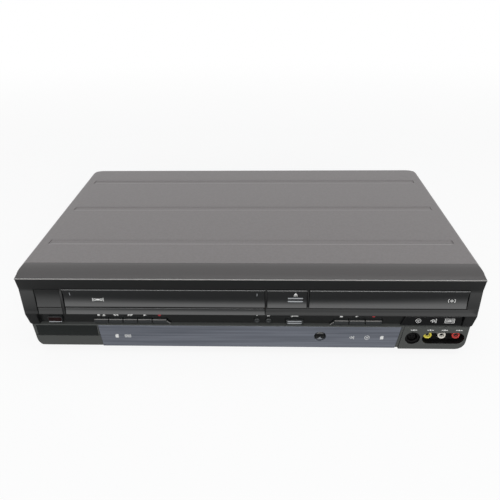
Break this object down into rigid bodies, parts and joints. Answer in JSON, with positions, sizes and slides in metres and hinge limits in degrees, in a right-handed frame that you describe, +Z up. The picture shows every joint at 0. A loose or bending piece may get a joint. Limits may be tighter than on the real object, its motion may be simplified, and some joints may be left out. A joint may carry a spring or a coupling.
{
  "type": "dvd vcr combo player",
  "caption": "Low wide player and recorder with a cassette flap on the left, a sliding disc tray on the right, a row of keys, a display window and front sockets.",
  "frame": {"origin": "middle of the footprint, on the surface that the feet stand on", "axes": "+X to the right seen from the front, +Y to the back, +Z up"},
  "size_m": [0.435, 0.265, 0.099],
  "materials": {
    "cover_paint": "satin dark grey paint on pressed steel",
    "zinc_steel": "zinc plated sheet steel",
    "rubber": "matt black rubber",
    "black_screw": "black oxide steel",
    "bezel_plastic": "fine grained black moulding",
    "door_plastic": "half gloss black moulding",
    "red_window": "dark red smoked window",
    "key_plastic": "half gloss black key caps",
    "window_plastic": "smoked half mirror acrylic with fine streaks",
    "dark_gloss": "piano black",
    "yellow_plastic": "yellow insulator",
    "white_plastic": "white insulator",
    "red_plastic": "red insulator",
    "black_plastic": "matt black moulding",
    "grey_plastic": "matt grey moulding",
    "bright_metal": "turned and polished aluminium",
    "brown_board": "paper based circuit board",
    "green_board": "glass fibre circuit board with solder mask",
    "tube_glass": "sealed glass tube, unlit"
  },
  "bodies": {
    "cabinet": {"top_cover": "cover_paint", "chassis_pan": "zinc_steel", "rear_panel": "zinc_steel", "tape_deck_plate": "zinc_steel", "foot_front_left": "rubber", "foot_front_right": "rubber", "foot_rear_left": "rubber", "foot_rear_right": "rubber", "cover_screw_front_left": "black_screw", "cover_screw_rear_left": "black_screw", "cover_screw_front_right": "black_screw", "cover_screw_rear_right": "black_screw", "front_bezel": "bezel_plastic", "jack_bay": "key_plastic", "display_window": "window_plastic", "ir_lens": "dark_gloss", "trim_plate": "dark_gloss", "rca_jack_video": "yellow_plastic", "rca_jack_audio_left": "white_plastic", "rca_jack_audio_right": "red_plastic", "svideo_socket": "black_plastic", "drive_housing": "black_plastic", "rear_jack_block": "black_plastic", "mains_inlet": "black_plastic", "fan_frame": "black_plastic", "lower_drum": "bright_metal", "front_board": "brown_board", "power_board": "brown_board", "main_board": "green_board", "display_tube": "tube_glass"},
    "power_button": {"power_button": "red_window"},
    "tape_stop_eject_key": {"tape_stop_eject_key": "key_plastic"},
    "tape_rewind_key": {"tape_rewind_key": "key_plastic"},
    "tape_fast_forward_key": {"tape_fast_forward_key": "key_plastic"},
    "tape_play_key": {"tape_play_key": "key_plastic"},
    "tape_record_key": {"tape_record_key": "key_plastic"},
    "channel_down_button": {"channel_down_button": "key_plastic"},
    "channel_up_button": {"channel_up_button": "key_plastic"},
    "dub_button": {"dub_button": "key_plastic"},
    "disc_stop_key": {"disc_stop_key": "key_plastic"},
    "disc_play_key": {"disc_play_key": "key_plastic"},
    "disc_record_key": {"disc_record_key": "key_plastic"},
    "tray_button": {"tray_button": "door_plastic"},
    "cassette_door": {"cassette_door": "door_plastic"},
    "card_door": {"card_door": "door_plastic"},
    "tray": {"disc_tray": "black_plastic", "tray_door": "door_plastic"},
    "head_drum": {"head_drum": "bright_metal"},
    "supply_reel": {"supply_reel_table": "white_plastic"},
    "takeup_reel": {"takeup_reel_table": "white_plastic"},
    "capstan": {"capstan": "bright_metal"},
    "pinch_arm": {"pinch_arm": "zinc_steel"},
    "pinch_roller": {"pinch_roller": "rubber"},
    "slider": {"loading_slider": "grey_plastic"},
    "holder": {"cassette_holder": "zinc_steel"},
    "traverse": {"traverse_plate": "zinc_steel"},
    "turntable": {"disc_turntable": "black_plastic"},
    "pickup": {"optical_pickup": "grey_plastic"},
    "clamp": {"disc_clamp": "grey_plastic"},
    "fan_rotor": {"fan_rotor": "grey_plastic"}
  },
  "joints": [
    {"name": "cassette_door_hinge", "type": "hinge", "parent": "cabinet", "child": "cassette_door", "pos_m": [-0.0802, -0.1282, 0.0777], "axis": [1, 0, 0], "range_deg": [0, 95], "stiffness_Nm_per_rad": 0.01},
    {"name": "tray_slide", "type": "slide", "parent": "cabinet", "child": "tray", "axis": [0, -1, 0], "range_m": [0, 0.128]},
    {"name": "card_door_hinge", "type": "hinge", "parent": "cabinet", "child": "card_door", "pos_m": [-0.1804, -0.1272, 0.023], "axis": [1, 0, 0], "range_deg": [0, 90]},
    {"name": "power_button_press", "type": "slide", "parent": "cabinet", "child": "power_button", "axis": [0, 1, 0], "range_m": [0, 0.0008], "stiffness_N_per_m": 400},
    {"name": "tape_stop_eject_key_press", "type": "slide", "parent": "cabinet", "child": "tape_stop_eject_key", "axis": [0, 1, 0], "range_m": [0, 0.0008], "stiffness_N_per_m": 400},
    {"name": "tape_rewind_key_press", "type": "slide", "parent": "cabinet", "child": "tape_rewind_key", "axis": [0, 1, 0], "range_m": [0, 0.0008], "stiffness_N_per_m": 400},
    {"name": "tape_fast_forward_key_press", "type": "slide", "parent": "cabinet", "child": "tape_fast_forward_key", "axis": [0, 1, 0], "range_m": [0, 0.0008], "stiffness_N_per_m": 400},
    {"name": "tape_play_key_press", "type": "slide", "parent": "cabinet", "child": "tape_play_key", "axis": [0, 1, 0], "range_m": [0, 0.0008], "stiffness_N_per_m": 400},
    {"name": "tape_record_key_press", "type": "slide", "parent": "cabinet", "child": "tape_record_key", "axis": [0, 1, 0], "range_m": [0, 0.0008], "stiffness_N_per_m": 400},
    {"name": "channel_down_button_press", "type": "slide", "parent": "cabinet", "child": "channel_down_button", "axis": [0, 1, 0], "range_m": [0, 0.0008], "stiffness_N_per_m": 400},
    {"name": "channel_up_button_press", "type": "slide", "parent": "cabinet", "child": "channel_up_button", "axis": [0, 1, 0], "range_m": [0, 0.0008], "stiffness_N_per_m": 400},
    {"name": "dub_button_press", "type": "slide", "parent": "cabinet", "child": "dub_button", "axis": [0, 1, 0], "range_m": [0, 0.0008], "stiffness_N_per_m": 400},
    {"name": "disc_stop_key_press", "type": "slide", "parent": "cabinet", "child": "disc_stop_key", "axis": [0, 1, 0], "range_m": [0, 0.0008], "stiffness_N_per_m": 400},
    {"name": "disc_play_key_press", "type": "slide", "parent": "cabinet", "child": "disc_play_key", "axis": [0, 1, 0], "range_m": [0, 0.0008], "stiffness_N_per_m": 400},
    {"name": "disc_record_key_press", "type": "slide", "parent": "cabinet", "child": "disc_record_key", "axis": [0, 1, 0], "range_m": [0, 0.0008], "stiffness_N_per_m": 400},
    {"name": "tray_button_press", "type": "slide", "parent": "cabinet", "child": "tray_button", "axis": [0, 1, 0], "range_m": [0, 0.0008], "stiffness_N_per_m": 400},
    {"name": "head_drum_spin", "type": "hinge", "parent": "cabinet", "child": "head_drum", "pos_m": [-0.0802, 0.057, 0.0305], "axis": [0, -0.1028, 0.9947], "continuous": true},
    {"name": "supply_reel_spin", "type": "hinge", "parent": "cabinet", "child": "supply_reel", "pos_m": [-0.1252, -0.041, 0.0268], "axis": [0, 0, 1], "continuous": true},
    {"name": "takeup_reel_spin", "type": "hinge", "parent": "cabinet", "child": "takeup_reel", "pos_m": [-0.0352, -0.041, 0.0268], "axis": [0, 0, 1], "continuous": true},
    {"name": "capstan_spin", "type": "hinge", "parent": "cabinet", "child": "capstan", "pos_m": [-0.0222, 0.024, 0.0265], "axis": [0, 0, 1], "continuous": true},
    {"name": "pinch_arm_swing", "type": "hinge", "parent": "cabinet", "child": "pinch_arm", "pos_m": [0.004, 0.03127, 0.0268], "axis": [0, 0, 1], "range_deg": [0, 25], "stiffness_Nm_per_rad": 0.02},
    {"name": "pinch_roller_spin", "type": "hinge", "parent": "pinch_arm", "child": "pinch_roller", "pos_m": [-0.01594, 0.04057, 0.0301], "axis": [0, 0, 1], "continuous": true},
    {"name": "loading_slide", "type": "slide", "parent": "cabinet", "child": "slider", "axis": [0, 1, 0], "range_m": [0, 0.042]},
    {"name": "holder_drop", "type": "slide", "parent": "slider", "child": "holder", "axis": [0, 0, -1], "range_m": [0, 0.0203]},
    {"name": "traverse_tilt", "type": "hinge", "parent": "cabinet", "child": "traverse", "pos_m": [0.13185, 0.0355, 0.053], "axis": [1, 0, 0], "range_deg": [0, 4]},
    {"name": "turntable_spin", "type": "hinge", "parent": "traverse", "child": "turntable", "pos_m": [0.13185, -0.0545, 0.054], "axis": [0, 0, 1], "continuous": true},
    {"name": "pickup_slide", "type": "slide", "parent": "traverse", "child": "pickup", "axis": [0, 1, 0], "range_m": [0, 0.034]},
    {"name": "clamp_spin", "type": "hinge", "parent": "cabinet", "child": "clamp", "pos_m": [0.13185, -0.0545, 0.07], "axis": [0, 0, 1], "continuous": true},
    {"name": "fan_spin", "type": "hinge", "parent": "cabinet", "child": "fan_rotor", "pos_m": [0.104, 0.117, 0.069], "axis": [0, 1, 0], "continuous": true}
  ],
  "couplings": [
    {"joint": "clamp_spin", "follows": "turntable_spin", "ratio": 1}
  ]
}
